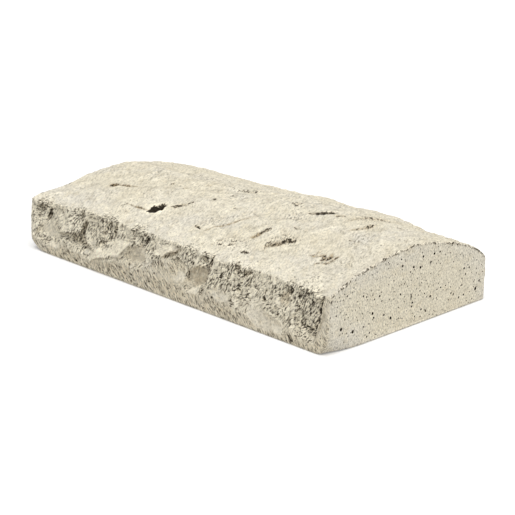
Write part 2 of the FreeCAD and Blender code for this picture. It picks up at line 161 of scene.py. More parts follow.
FRONT_DENTS = (
    Dent(-201, 46, 22, 7, 5.0, 61, 0.65, 0.2),
    Dent(-214, 51, 16, 8, 3.5, 60, 0.6, 0.1),
    Dent(-140, 44, 18, 4, 3.0, 82, 0.7, 0.2),
    Dent(-97, 55, 18, 9, 4.0, 72, 0.6, 0.1),
    Dent(-88, 54, 20, 6, 3.5, 70, 0.6, 0.1),
    Dent(-105, 48, 14, 7, 3.0, 62, 0.55, 0.1),
    Dent(-112, 33.5, 36, 6, 1.5, 33, 0.65, 0.1),
    Dent(-90, 46.5, 18, 5, 1.5, 28, 0.55, 0.0),
    Dent(-144, 60, 12, 6, 2.0, 60, 0.55, 0.0),
    Dent(-56, 63, 9, 4, 2.0, 30, 0.8, 0.0),
    Dent(-39, 53, 16, 6, 3.0, 55, 0.75, 0.0),
    Dent(0, 49, 22, 4, 1.0, 32, 0.15, 0.4),
    Dent(25, 33, 14, 2.6, 2.0, 95, 0.8, 0.2),
    Dent(52, 48, 12, 2.6, 2.0, 15, 0.8, 0.2),
    Dent(49, 57, 13, 5, 4.0, -37, 0.95, 0.1),
    Dent(59, 57, 12, 5, 4.0, 77, 0.95, 0.1),
    Dent(75, 45, 11, 3.4, 2.5, 82, 0.85, 0.0),
    Dent(95, 56, 15, 10, 4.0, 120, 0.75, 0.2),
    Dent(109, 56, 18, 8, 3.5, 30, 0.65, 0.2),
    Dent(100, 37, 7, 5, 3.0, 30, 0.95, 0.1),
    Dent(135, 34, 6, 4.4, 3.0, 45, 0.9, 0.1),
    Dent(157, 26, 5, 3.6, 2.5, 45, 0.9, 0.1),
    Dent(164, 44, 13, 10, 1.5, 80, 0.0, 0.6),
    Dent(171, 54, 10, 6, 4.0, 70, 0.9, 0.0),
    Dent(191, 57, 20, 7, 2.0, 12, 0.6, 0.0),
    Dent(197, 20, 24, 4, 2.0, -12, 0.7, 0.0),
    Dent(216.5, 54.5, 16, 2.6, 2.5, 58, 1.1, 0.2),
    Dent(211.7, 43, 9, 2.6, 2.0, 86, 1.1, 0.2),
    Dent(209.3, 32.5, 7, 2.2, 2.0, 64, 0.9, 0.2),
    Dent(206.2, 24.5, 9, 2.4, 2.0, 74, 1.0, 0.2),
    Dent(180, 6.7, 8, 2.8, 3.0, -50, 1.0, 0.0),
    Dent(-112, 42, 40, 26, 0, 60, 0.32, 0.0),
    Dent(-208, 44, 34, 20, 0, 60, 0.3, 0.0),
    Dent(-172, 27, 40, 14, 0, -30, 0.26, 0.0),
    Dent(-20, 36, 44, 16, 0, 30, 0.42, 0.1),
    Dent(98, 52, 40, 24, 0, 60, 0.4, 0.0),
    Dent(78, 34, 40, 18, 0, 20, 0.4, 0.0),
    Dent(150, 40, 44, 26, 0, 30, 0.36, 0.1),
    Dent(196, 52, 30, 14, 0, 10, 0.55, 0.0),
    Dent(204, 34, 34, 12, 0, 70, 0.44, 0.0),
    Dent(220, 3, 30, 9, 0, 0, 0.0, 0.3),
)

# Places along the front's upper edge where the rock face bites into the top, and half lengths.
FRONT_BITES = (
    (-208, 13), (-150, 12), (-98, 13), (-50, 11), (27, 9), (54, 10), (102, 16), (171, 8), (197, 17),
)

# Height of the smooth margin along the front, as places along the stone and heights.
FRONT_MARGIN = (
    (-229, 14), (-202, 12), (-181, 13), (-155, 16), (-140, 12), (-127, 8), (-107, 13), (-83, 20),
    (-59, 25), (-35, 31), (-12, 39), (3, 42), (18, 40), (25, 24), (50, 21), (67, 27), (86, 28), (107, 25),
    (128, 22), (150, 18), (172, 16), (193, 14), (207, 15), (214, 22), (228, 30),
)

# Air holes of the near end that show most: across, up, and half their width and height, which
# HOLE_GROWTH widens.
NEAR_HOLES = (
    (17, 73, 1.1, 1.1), (35, 72, 1.2, 1.2), (44, 72, 1.0, 1.0), (30, 64, 1.1, 1.1), (54, 76, 0.9, 0.9),
    (-16, 70, 1.1, 1.1), (2, 65, 1.2, 1.3), (13, 62, 1.3, 1.3), (87, 44, 1.1, 1.1), (96, 43, 0.9, 0.9),
    (90, 37, 0.9, 0.9), (115, 24, 1.0, 1.0), (109, 16, 1.5, 1.6), (89, 14, 1.0, 1.0), (81, 13, 1.0, 1.0),
    (67, 21, 1.0, 0.9), (71, 19, 1.0, 0.9), (32, 26, 1.2, 1.2), (85, 26, 0.9, 0.9), (57, 32, 0.8, 0.8),
    (18, 15, 1.0, 1.0), (25, 12, 0.9, 0.9), (-107, 25, 1.5, 1.5), (-89, 18, 1.4, 1.6), (-50, 46, 1.1, 1.0),
    (-75, 52, 0.9, 0.9), (-70, 50, 0.9, 0.9), (-17, 40, 0.9, 0.9), (-31, 18, 1.4, 1.3), (-42, 24, 1.1, 1.0),
    (-60, 30, 1.2, 1.5), (-58, 25, 0.9, 0.9), (-63, 10, 0.9, 0.9), (-67, 7, 0.9, 0.9), (3, 26, 1.0, 1.0),
    (2, 22, 1.0, 1.0), (0.5, 33, 0.8, 3.0), (8, 10, 0.8, 0.8), (-46, 40, 0.8, 0.8), (-73, 19, 0.8, 0.8),
)

WORN_CORNERS = (
    Worn((229, -127, 0), (11, -40, -17)),
    Worn((-229, -127, 0), (-18, -18, -12)),
    Worn((229, 124, 54), (10, 4, 4)),
)


# Noise on two coordinates

WORD = 0xFFFFFFFF


def hashed(i, j, seed):
    """Repeatable random numbers from 0 to 1 at whole-number places."""
    n = (i.astype(np.int64) * 374761393 + j.astype(np.int64) * 668265263 + seed * 982451653) & WORD
    n = ((n ^ (n >> 13)) * 1274126177) & WORD
    n = ((n ^ (n >> 16)) * 1103515245) & WORD
    return (n ^ (n >> 15)) / WORD


def fade(t):
    return t * t * t * (t * (t * 6 - 15) + 10)


def rising(low, high, value):
    """0 below low, 1 above high, and a smooth step between."""
    t = np.clip((value - low) / (high - low), 0, 1)
    return t * t * (3 - 2 * t)


def noise(u, v, seed):
    """Smooth gradient noise with features one unit apart, from about -1 to 1."""
    i, j = np.floor(u), np.floor(v)
    total = np.zeros(np.shape(u))
    for di, dj in itertools.product((0, 1), repeat=2):
        angle = hashed(i + di, j + dj, seed) * 2 * math.pi
        du, dv = u - i - di, v - j - dj
        total += (du * np.cos(angle) + dv * np.sin(angle)) * fade(1 - np.abs(du)) * fade(1 - np.abs(dv))
    return total * 1.5


def fractal(u, v, size, octaves, seed, gain=0.5):
    """Noise of a size, with finer octaves on it."""
    total, strength, whole = 0, 1.0, 0.0
    for k in range(octaves):
        total = total + strength * noise(u / size * 2**k, v / size * 2**k, seed + 17 * k)
        whole += strength
        strength *= gain
    return total / whole


def turned(u, v, degrees):
    """Coordinates along and across a direction."""
    c, s = math.cos(math.radians(degrees)), math.sin(math.radians(degrees))
    return u * c + v * s, v * c - u * s


def facets(u, v, size, tilt, lift, seed):
    """Broken stone: heights of tilted flat facets of a size, and the way to the nearest break."""
    i, j = np.floor(u / size), np.floor(v / size)
    nearest = np.full(u.shape, np.inf)
    second = nearest.copy()
    height = np.zeros(u.shape)
    for di, dj in itertools.product((-1, 0, 1), repeat=2):
        ci, cj = i + di, j + dj
        du = u - (ci + hashed(ci, cj, seed + 1)) * size
        dv = v - (cj + hashed(ci, cj, seed + 2)) * size
        away = np.hypot(du, dv)
        lean_u, lean_v, raised = (hashed(ci, cj, seed + k) - 0.5 for k in (3, 4, 5))
        plane = tilt * (lean_u * du + lean_v * dv) + lift * raised
        nearer = away < nearest
        second = np.where(nearer, nearest, np.minimum(second, away))
        height = np.where(nearer, plane, height)
        nearest = np.where(nearer, away, nearest)
    return height, second - nearest


def within(u, v, sides):
    """Whether places lie inside closed outlines, which are given as pairs of ends."""
    inside = np.zeros(np.shape(u), bool)
    for (au, av), (bu, bv) in sides:
        if av != bv:
            inside ^= ((av > v) != (bv > v)) & (u < au + (v - av) * (bu - au) / (bv - av))
    return inside


def inside_by(u, v, corners):
    """How far places lie inside a polygon; outside it the distance is below zero."""
    sides = list(zip(corners, corners[1:] + corners[:1]))
    nearest = np.full(u.shape, np.inf)
    for (au, av), (bu, bv) in sides:
        run_u, run_v = bu - au, bv - av
        share = np.clip(((u - au) * run_u + (v - av) * run_v) / (run_u**2 + run_v**2), 0, 1)
        nearest = np.minimum(nearest, np.hypot(u - au - share * run_u, v - av - share * run_v))
    return np.where(within(u, v, sides), nearest, -nearest)


def softened(field, radius):
    """A map blurred over a radius."""
    reach = max(1, int(round(radius / PITCH)))
    window = np.hanning(2 * reach + 3)[1:-1]
    window /= window.sum()
    for axis in (0, 1):
        padded = np.pad(field, [(reach, reach) if a == axis else (0, 0) for a in (0, 1)], mode="edge")
        field = np.apply_along_axis(np.convolve, axis, padded, window, mode="valid")
    return field


# Relief maps, one for each worked face

FIELDS = ("dark", "brown", "rough", "rock", "tone", "warm")


class Relief:
    """Maps of one face on an even grid of two coordinates: its height and the painted highlight and shade
    of its ledges, its share of black, which is painted shade in dents, cracks, hollows, pits and holes and
    elsewhere darker patches and grain, and of brown, how rough it is, how much of that is broken rock, its
    painted light and shade from the relief, a highlight on crests and shade in hollows, and how warm its
    colour is. A face that looks the other way has its forms turned half round."""

    def __init__(self, low_u, high_u, low_v, high_v, facing=1):
        self.origin = (low_u - SKIRT, low_v - SKIRT)
        us = np.arange(low_u - SKIRT, high_u + SKIRT + PITCH, PITCH)
        vs = np.arange(low_v - SKIRT, high_v + SKIRT + PITCH, PITCH)
        self.u, self.v = np.meshgrid(facing * us, vs, indexing="ij")
        for name in ("height", "ledge_light_and_shade") + FIELDS:
            setattr(self, name, np.zeros(self.u.shape))

    def blacken(self, dark, brown):
        """Lays darkness and brownness over what is there."""
        self.dark = np.maximum(self.dark, dark)
        self.brown = np.maximum(self.brown, brown)

    def dent(self, dent, seed):
        """Sinks one dent or crack with a ragged outline, or raises a swelling; its black is painted shade
        and its brown a stain.
        """
        along, across = turned(self.u - dent.u, self.v - dent.v, dent.turn)
        ragged = 0.25 * fractal(self.u, self.v, 5.0, 2, seed)
        away = np.hypot(along / (dent.length / 2), across / (dent.width / 2)) + ragged
        start = 0.6 if dent.depth > 0 else 0.0
        self.height -= dent.depth * (1 - rising(start, 1.05, away))
        black, stained = 1 - rising(0.95, 1.35, away), 1 - rising(0.9, 1.8, away)
        self.blacken(dent.dark * black, dent.brown * stained)

    def hollow(self, hollow, seed):
        """Sinks a hollow with steep sides and a floor that keeps some of the face's roughness, painted
        black as shade and stained brown.
        """
        deep = inside_by(self.u, self.v, hollow.corners) + 1.1 * fractal(self.u, self.v, 7, 2, seed)
        inside = rising(-0.4, 2.0, deep)
        self.height = self.height * (1 - hollow.smooth * inside) - hollow.depth * inside
        self.dark = self.dark * (1 - hollow.smooth * inside)
        self.rock = self.rock * (1 - 0.5 * hollow.smooth * inside)
        stained = rising(-1.4, 0.2, deep)
        self.blacken(hollow.dark * stained, hollow.brown * stained)

    def ledge(self, ledge, seed):
        """Raises a ledge that grows towards its lip and ends there, painted as lit: a highlight on its face
        and lip, with fewer dark marks and strokes, and painted shade at its foot below the lip.
        """
        deep = inside_by(self.u, self.v, ledge.corners) + 0.9 * fractal(self.u, self.v, 8, 2, seed)
        inside = rising(-0.3, 1.1, deep)
        out, _ = turned(self.u, self.v, ledge.turn)
        ends = [turned(u, v, ledge.turn)[0] for u, v in ledge.corners]
        growth = np.clip((out - min(ends)) / (max(ends) - min(ends)), 0, 1)
        self.height = self.height * (1 - 0.6 * inside) + ledge.lift * inside * (0.25 + 0.75 * growth)
        self.dark *= 1 - 0.6 * ledge.pale * inside
        self.rock *= 1 - 0.4 * ledge.pale * inside
        foot = (1 - inside) * (1 - rising(1.0, 4.5, -deep)) * rising(0.35, 0.6, growth)
        rim = rising(-0.6, 0.4, deep) * (1 - rising(1.4, 3.0, deep))
        kept = 1 - np.maximum(inside, foot)
        # Painted highlight on the ledge's face and lip, painted shade at its foot outside the lip.
        self.ledge_light_and_shade = self.ledge_light_and_shade * kept + ledge.pale * (0.8 * inside + 0.7 * rim) - foot

    def hole(self, u, v, radius):
        """Sinks one round air hole, painted black inside as shade."""
        away = np.hypot(self.u - u, self.v - v) / radius
        self.height -= 2.0 * radius * (1 - rising(0.6, 1.3, away))
        self.dark = np.maximum(self.dark, 1 - rising(0.8, 1.4, away))

    def holes(self, count, seed, where):
        """Scatters small air holes over the part of the face that passes the test."""
        rng = np.random.default_rng(seed)
        for _ in range(count):
            u = rng.uniform(self.u.min(), self.u.max())
            v = rng.uniform(self.v.min(), self.v.max())
            radius = rng.uniform(0.6, 1.1)
            if where(u, v):
                self.hole(u, v, radius)

    def find_relief_light(self, radius, depth, broad=0.0):
        """Sets the painted light and shade from how far each place stands out from its surroundings, near
        and broad: a highlight on crests and shade in hollows, added to the painted light and shade of
        ledges.
        """
        near = softened(self.height, radius)
        stands = (self.height - near) / depth + broad * (near - softened(self.height, 5 * radius))
        self.tone = np.clip(stands + 0.8 * self.ledge_light_and_shade, -1, 1)

    def at(self, field, u, v):
        """Values of a map at places, worked out between its points."""
        a = np.clip((u - self.origin[0]) / PITCH, 0, field.shape[0] - 1.001)
        b = np.clip((v - self.origin[1]) / PITCH, 0, field.shape[1] - 1.001)
        i, j = a.astype(int), b.astype(int)
        a, b = a - i, b - j
        return (field[i, j] * (1 - a) * (1 - b) + field[i + 1, j] * a * (1 - b)
                + field[i, j + 1] * (1 - a) * b + field[i + 1, j + 1] * a * b)


def hewn_top():
    """Relief of the hewn top: flakes, ripples that run up the slopes, pits and the vug."""
    top = Relief(LOW[0], HIGH[0], LOW[1], HIGH[1])
    u, v = top.u, top.v
    bend = 7 * fractal(u, v, 40, 2, 3)
    scale = fractal(u + bend, v * 0.8, 75, 3, 11) * 3.2
    step = np.floor(scale) + rising(0.72, 1.0, scale - np.floor(scale)) - scale
    top.height += 1.5 * step + 1.8 * fractal(u, v, 45, 2, 21)
    patchy = rising(-0.35, 0.35, fractal(u, v, 50, 2, 41))
    along, across = turned(u + bend, v, GRAIN_TURN)
    ripple = fractal(along / 4.5, across / 12.0, 1.0, 2, 31)
    top.height += ripple * (0.45 + 0.4 * patchy) + 0.5 * fractal(u, v, 5.0, 2, 51)
    pits = rising(0.42, 0.62, fractal(along / 3.6, across / 7.0, 1.0, 2, 61)) * patchy
    top.height -= 1.0 * pits
    to_side = np.minimum(v - LOW[1], HIGH[1] - v) + 5 * fractal(u, v, 18, 2, 71)
    brink = 1 - rising(4, 24, to_side)
    bitten = bites(np.where(v < 0, u, -u), v, 75)
    top.height -= (1.6 + 2.0 * bitten) * brink**2
    to_end = np.minimum(HIGH[0] - u, u - LOW[0])
    chipped = rising(-0.1, 0.5, fractal(u, v, 7, 2, 81)) * (1 - rising(0.5, 4.0, to_end))
    top.height -= 1.5 * chipped
    top.height *= 0.4 + 0.6 * rising(0, 14, to_end)
    top.rough[:] = 1.0
    top.rock = brink * (0.3 + 0.7 * bitten)
    to_front = v - LOW[1] + 14 * fractal(u, v, 60, 2, 91)
    top.warm = rising(12, 62, to_front) * (0.55 + 0.45 * rising(-0.4, 0.2, fractal(u, v, 55, 2, 95)))
    grey = rising(0.0, 0.45, fractal(u, v, 42, 3, 93))
    top.warm *= 1 - 0.5 * grey
    # Pits are painted darker as shade; the grey patches are the stone's own colour.
    top.dark = np.maximum(0.07 * patchy + 0.25 * pits + 0.16 * grey, brink * (0.1 + 0.4 * bitten))
    ragged = 2.4 + 2.0 * fractal(u, v, 9, 2, 97)
    top.dark = np.maximum(top.dark, 0.9 * (1 - rising(0.5, 1.0, to_end / ragged)))
    for k, dent in enumerate(TOP_DENTS):
        top.dent(dent, 90 + k)
    middle_u, middle_v, half_u, half_v = CRUMBLED
    rng = np.random.default_rng(7)
    for k in range(26):
        place = rng.normal(0, 0.55, 2)
        top.dent(Dent(middle_u + half_u * place[0], middle_v + half_v * place[1], rng.uniform(4, 7),
                      rng.uniform(2.0, 3.0), 1.2, rng.uniform(50, 110), 0.6, 0.8), 150 + k)
    for k, hollow in enumerate(TOP_HOLLOWS):
        top.hollow(hollow, 200 + k)
    top.find_relief_light(4.0, 2.0, 0.6)
    return top


def rock_face(seed, facing):
    """Relief of a long side: broken stone above a smooth margin with air holes. It ends short of the
    end on its right, where a strip as plain as the margin is left."""
    side = Relief(LOW[0], HIGH[0], LOW[2], HIGH[2], facing)
    u, v = side.u, side.v
    edge = front_margin(u) + 2.5 * fractal(u, v, 16, 2, seed)
    strip = np.clip(8 + 0.3 * (60 - v), 6, 19)
    rock = rising(-2.0, 3.0, np.minimum(v - edge, HIGH[0] - u - strip))
    warp_u = u + 5 * fractal(u, v, 16, 2, seed + 1)
    warp_v = v + 5 * fractal(u, v, 16, 2, seed + 2)
    broad, gap = facets(warp_u, warp_v, 26.0, 0.14, 1.2, seed + 3)
    along, across = turned(warp_u, warp_v, 55)
    chips, _ = facets(along / 2.2, across, 7.5, 0.35, 1.3, seed + 10)
    stroke = fractal(along / 11.0, across / 3.2, 1.0, 2, seed + 20)
    patchy = fractal(u, v, 24, 2, seed + 40)
    crack = (1 - rising(0.5, 2.4, gap)) * rising(-0.2, 0.3, patchy)
    groove = rising(0.22, 0.5, stroke)
    side.height += rock * (0.2 + softened(broad, 2.0) + 1.0 * chips + 0.9 * stroke)
    flakes = fractal(along / 9.0, across / 3.0, 1.0, 2, seed + 30)
    side.height += rock * (0.8 * flakes - 1.2 * crack - 1.4 * groove)
    side.height += (1 - rock) * 0.2 * fractal(u, v, 12.0, 2, seed + 60)
    side.rough = rock.copy()
    side.rock = rock.copy()
    side.warm = 1.0 - 0.5 * rock * rising(-0.3, 0.3, patchy)
    side.brown = 0.32 - 0.24 * rock
    upper = rising(40, 56, v)
    # Cracks and grooves of the broken rock are painted darker as shade; the rest is the stone's patchy
    # colour and a base darkness for the grain's strokes.
    side.dark = 0.2 + rock * (0.05 + 0.14 * patchy + 0.25 * crack + 0.15 * groove)
    side.dark += rock * (0.1 * rising(28, 42, v) + upper * (0.2 * bites(u, v, seed + 75) - 0.08))
    for k, hollow in enumerate(FRONT_HOLLOWS):
        side.hollow(hollow, seed + 120 + k)
    for k, dent in enumerate(FRONT_DENTS):
        side.dent(dent, seed + 70 + k)
    for k, ledge in enumerate(FRONT_LEDGES):
        side.ledge(ledge, seed + 110 + k)
    side.height *= 0.35 + 0.65 * rising(0, 10, np.minimum(HIGH[0] - u, u - LOW[0]))
    side.find_relief_light(4.5, 2.2)
    side.holes(330, seed + 90, lambda a, b: 4 < b < front_margin(a) - 1)
    return side


def bites(u, v, seed):
    """How far the rock face bites into the top, from 0 to 1."""
    ragged = u + 6 * fractal(u, v, 12, 2, seed)
    middles, halves = np.array(FRONT_BITES).T
    away = np.abs(ragged[..., None] - middles) / halves
    return 1 - rising(0.7, 1.2, away.min(axis=-1))


def front_margin(u):
    places, heights = zip(*FRONT_MARGIN)
    return np.interp(u, places, heights)


# The stone's mesh


def apply_modifier(piece, kind, **settings):
    """Adds a modifier to a piece and makes its result the piece's mesh."""
    modifier = piece.modifiers.new(kind.lower(), kind)
    for name, value in settings.items():
        setattr(modifier, name, value)
    depsgraph = bpy.context.evaluated_depsgraph_get()
    mesh = bpy.data.meshes.new_from_object(piece.evaluated_get(depsgraph))
    piece.modifiers.clear()
    old = piece.data
    piece.data = mesh
    bpy.data.meshes.remove(old)


def even_mesh():
    """A piece with the CAD stone's surface as an even mesh."""
    piece = bpy.data.objects.new("cast_coping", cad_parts[NODE].data.copy())
    bpy.context.scene.collection.objects.link(piece)
    apply_modifier(piece, "REMESH", mode="VOXEL", voxel_size=VOXEL * MM)
    return piece


def places_of(mesh):
    """The mesh's vertices in millimetres."""
    flat = np.empty(len(mesh.vertices) * 3)
    mesh.vertices.foreach_get("co", flat)
    return flat.reshape(-1, 3) / MM


def cad_surface(axis, sign, pitch=1.5):
    """The CAD stone's surface seen along one axis, as a function of the other two coordinates."""
    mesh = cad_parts[NODE].data
    mesh.calc_loop_triangles()
    tree = BVHTree.FromPolygons(
        [v.co / MM for v in mesh.vertices], [t.vertices for t in mesh.loop_triangles]
    )
    a, b = (k for k in range(3) if k != axis)
    inset = 0.5
    us = np.linspace(LOW[a] + inset, HIGH[a] - inset, int((HIGH[a] - LOW[a]) / pitch))
    vs = np.linspace(LOW[b] + inset, HIGH[b] - inset, int((HIGH[b] - LOW[b]) / pitch))
    far = 2 * (HIGH[axis] - LOW[axis])
    depths = np.full((len(us), len(vs)), np.nan)
    for i, u in enumerate(us):
        for j, v in enumerate(vs):
            start = Vector()
            start[a], start[b], start[axis] = u, v, sign * far
            ray = Vector()
            ray[axis] = -sign
            hit = tree.ray_cast(start, ray)[0]
            if hit is not None:
                depths[i, j] = hit[axis]
    for row in depths:
        known = ~np.isnan(row)
        row[:] = np.interp(vs, vs[known], row[known])

    def surface(u, v):
        s = np.clip((u - us[0]) / (us[1] - us[0]), 0, len(us) - 1.001)
        t = np.clip((v - vs[0]) / (vs[1] - vs[0]), 0, len(vs) - 1.001)
        i, j = s.astype(int), t.astype(int)
        s, t = s - i, t - j
        return (depths[i, j] * (1 - s) * (1 - t) + depths[i + 1, j] * s * (1 - t)
                + depths[i, j + 1] * (1 - s) * t + depths[i + 1, j + 1] * s * t)

    return surface


Face = namedtuple("Face", "relief axis sign surface")


def make_faces():
    """The three worked faces: top, front and rear."""
    return (
        Face(hewn_top(), 2, 1, cad_surface(2, 1)),
        Face(rock_face(100, 1), 1, -1, cad_surface(1, -1)),
        Face(rock_face(400, -1), 1, 1, cad_surface(1, 1)),
    )


def depth_under(face, places):
    """How deep places lie under a CAD face, and their two coordinates on it."""
    u, v = (places[:, k] for k in range(3) if k != face.axis)
    return face.sign * (face.surface(u, v) - places[:, face.axis]), u, v


def carve(piece, faces):
    """Moves the mesh by each face's relief, which fades out below that face, and wears its corners."""
    places = places_of(piece.data)
    moved = places.copy()
    for face in faces:
        depth, u, v = depth_under(face, places)
        share = np.clip(1 - np.maximum(depth, 0) / REACH, 0, 1)
        share = share * rising(0, BED_FADE, places[:, 2])
        moved[:, face.axis] += face.sign * share * face.relief.at(face.relief.height, u, v)
    soft = 2.0
    for worn in WORN_CORNERS:
        outward = 1 / np.array(worn.reach)
        depth = 1 / np.linalg.norm(outward)
        outward = outward * depth
        over = (moved - np.array(worn.corner)) @ outward + depth
        moved -= np.outer(soft * np.logaddexp(0, over / soft), outward)
    piece.data.vertices.foreach_set("co", (moved * MM).ravel())
    piece.data.update()


def paint(piece, faces):
    """Writes each face's maps onto the mesh, for the material; the ends and the bed stay plain."""
    places = places_of(piece.data)
    shares, found = [], []
    for face in faces:
        depth, u, v = depth_under(face, places)
        relief = face.relief
        shares.append(np.exp(-np.abs(depth + relief.at(relief.height, u, v)) / PAINT_REACH))
        found.append([relief.at(getattr(relief, name), u, v) for name in FIELDS])
    for away in (places[:, 2], HIGH[0] - places[:, 0], places[:, 0] - LOW[0]):
        shares.append(np.exp(-np.abs(away) / PAINT_REACH))
        found.append([0 * away] * len(FIELDS))
    whole = sum(shares) + 1e-12
    for k, name in enumerate(FIELDS):
        values = sum(share * fields[k] for share, fields in zip(shares, found)) / whole
        attribute = piece.data.attributes.new(name, "FLOAT", "POINT")
        attribute.data.foreach_set("value", values.astype(np.float32))


def with_random_holes(holes, count, seed):
    """The named holes of an end and more small ones that keep clear of each other."""
    rng = np.random.default_rng(seed)
    holes = list(holes)
    for _ in range(count):
        u = rng.uniform(LOW[1] + HOLE_SPACING, HIGH[1] - HOLE_SPACING)
        v = rng.uniform(5, HIGH[2])
        radius = rng.uniform(0.45, 0.8)
        if all(math.hypot(u - other[0], v - other[1]) > HOLE_SPACING for other in holes):
            holes.append((u, v, radius, radius))
    return holes


def refill_end(piece, sign, holes, seed):
    """Lays the flat part of an end anew, nearly flat, round air holes that are really sunk and painted
    black inside as shade.
    """
    mesh = bmesh.new()
    mesh.from_mesh(piece.data)
    plane = HIGH[0] if sign > 0 else LOW[0]
    flat = [face for face in mesh.faces if all(abs(vert.co.x / MM - plane) < FLAT for vert in face.verts)]
    bmesh.ops.delete(mesh, geom=flat, context="FACES")
    mesh.verts.index_update()
    rim = [edge for edge in mesh.edges if edge.is_boundary]
    corners = sorted({vert for edge in rim for vert in edge.verts}, key=lambda vert: vert.index)
    number = {vert: k for k, vert in enumerate(corners)}
    points = [(vert.co.y / MM, vert.co.z / MM) for vert in corners]
    edges = [tuple(number[vert] for vert in edge.verts) for edge in rim]
    sides = [(points[a], points[b]) for a, b in edges]
    outline = np.array(points)

    def clear(places, distance):
        """Which places lie inside the outline by a distance."""
        gaps = np.hypot(places[:, :1] - outline[:, 0], places[:, 1:] - outline[:, 1]).min(axis=1)
        return within(places[:, 0], places[:, 1], sides) & (gaps > distance)

    centres = np.array([hole[:2] for hole in holes])
    holes = [hole for hole, fits in zip(holes, clear(centres, 3.0)) if fits]
    rings = []
    angles = np.arange(HOLE_SIDES) * 2 * math.pi / HOLE_SIDES
    holes = [(u, v, HOLE_GROWTH * half_u, HOLE_GROWTH * half_v) for u, v, half_u, half_v in holes]
    for u, v, half_u, half_v in holes:
        first = len(points)
        points += [(u + half_u * math.cos(t), v + half_v * math.sin(t)) for t in angles]
        rings.append(range(first, len(points)))
        edges += [(first + k, first + (k + 1) % HOLE_SIDES) for k in range(HOLE_SIDES)]
    rng = np.random.default_rng(seed)
    steps = ((1, 0), (-1, 0), (0, 1), (0, -1))
    inset = np.concatenate([outline + RIM_INSET * np.array(step) for step in steps])
    grid = np.mgrid[LOW[1]:HIGH[1]:END_GRID, LOW[2]:HIGH[2]:END_GRID].reshape(2, -1).T
    grid = grid + rng.uniform(-2, 2, grid.shape)
    fill = np.concatenate([inset[clear(inset, 1.3)], grid[clear(grid, 3.5)]])
    for u, v, half_u, half_v in holes:
        fill = fill[np.hypot((fill[:, 0] - u) / (half_u + 0.8), (fill[:, 1] - v) / (half_v + 0.8)) > 1]
    points += [tuple(place) for place in fill]

    places, _, faces, origins, _, _ = delaunay_2d_cdt([Vector(p) for p in points], edges, [], 0, 1e-4)
    flat_places = np.array([tuple(place) for place in places])
    swell = 0.25 * fractal(flat_places[:, 0], flat_places[:, 1], 34, 2, seed) - 0.2
    layers = mesh.verts.layers.float
    dark, brown, tone, warm = (layers[name] for name in ("dark", "brown", "tone", "warm"))
    upper = outline[outline[:, 1] > BED_RIM]
    chipped = rising(-0.35, 0.15, fractal(outline[:, 0], outline[:, 1], 11, 2, seed + 1))
    for vert, share in zip(corners, chipped):
        if vert.co.z / MM > ARRIS_FOOT:
            vert[dark], vert[brown] = max(vert[dark], 0.8 * share), 0.4 * share
    verts, vert_of = [], {}
    for place, rise, sources in zip(places, swell, origins):
        known = [k for k in sources if k < len(corners)]
        if known:
            vert = corners[known[0]]
        else:
            vert = mesh.verts.new(((plane + sign * rise) * MM, place.x * MM, place.y * MM))
            # The flat of an end gets a little painted highlight, which makes it slightly paler.
            vert[brown], vert[tone] = 0.02, 0.22
            gap = np.hypot(upper[:, 0] - place.x, upper[:, 1] - place.y).min()
            vert[warm] = 0.25 + 0.75 * rising(4, 30, gap)
        verts.append(vert)
        vert_of.update({k: vert for k in sources})
    middles = np.array([flat_places[list(face)].mean(axis=0) for face in faces])
    kept = within(middles[:, 0], middles[:, 1], sides)
    for u, v, half_u, half_v in holes:
        kept &= np.hypot((middles[:, 0] - u) / half_u, (middles[:, 1] - v) / half_v) > 0.95
    for face, keep in zip(faces, kept):
        if keep:
            mesh.faces.new([verts[k] for k in face])
    for (u, v, half_u, half_v), ring in zip(holes, rings):
        lip = [vert_of[k] for k in ring]
        middle = Vector((0, u * MM, v * MM))
        outer = lip
        for narrowing, deep in ((0.06, 0.15), (0.25, 2.2)):
            inner = []
            for vert in lip:
                inward = narrowing * (middle - vert.co)
                inward.x = -sign * deep * half_u * MM
                inner.append(mesh.verts.new(vert.co + inward))
                # The walls and floor of each hole are painted black as shade.
                inner[-1][dark] = 1.4
            for k in range(HOLE_SIDES):
                after = (k + 1) % HOLE_SIDES
                mesh.faces.new((outer[k], outer[after], inner[after], inner[k]))
            outer = inner
        mesh.faces.new(outer)
        for k in range(HOLE_SIDES):
            mesh.edges.get((lip[k], lip[(k + 1) % HOLE_SIDES])).smooth = False
    for edge in rim:
        edge.smooth = False
    bmesh.ops.recalc_face_normals(mesh, faces=mesh.faces[:])
    mesh.to_mesh(piece.data)
    mesh.free()


def make_stone():
    piece = even_mesh()
    faces = make_faces()
    carve(piece, faces)
    piece.data.calc_loop_triangles()
    ratio = MOST_TRIANGLES / len(piece.data.loop_triangles)
    apply_modifier(piece, "DECIMATE", ratio=min(1.0, ratio))
    paint(piece, faces)
    refill_end(piece, 1, with_random_holes(NEAR_HOLES, 70, 21), 501)
    refill_end(piece, -1, with_random_holes((), 110, 22), 601)
    piece.data.shade_smooth()
    piece.data.materials.clear()
    piece.data.materials.append(stone_material())
    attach(piece, BODY)
    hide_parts(NODE)
    return piece


# Materials


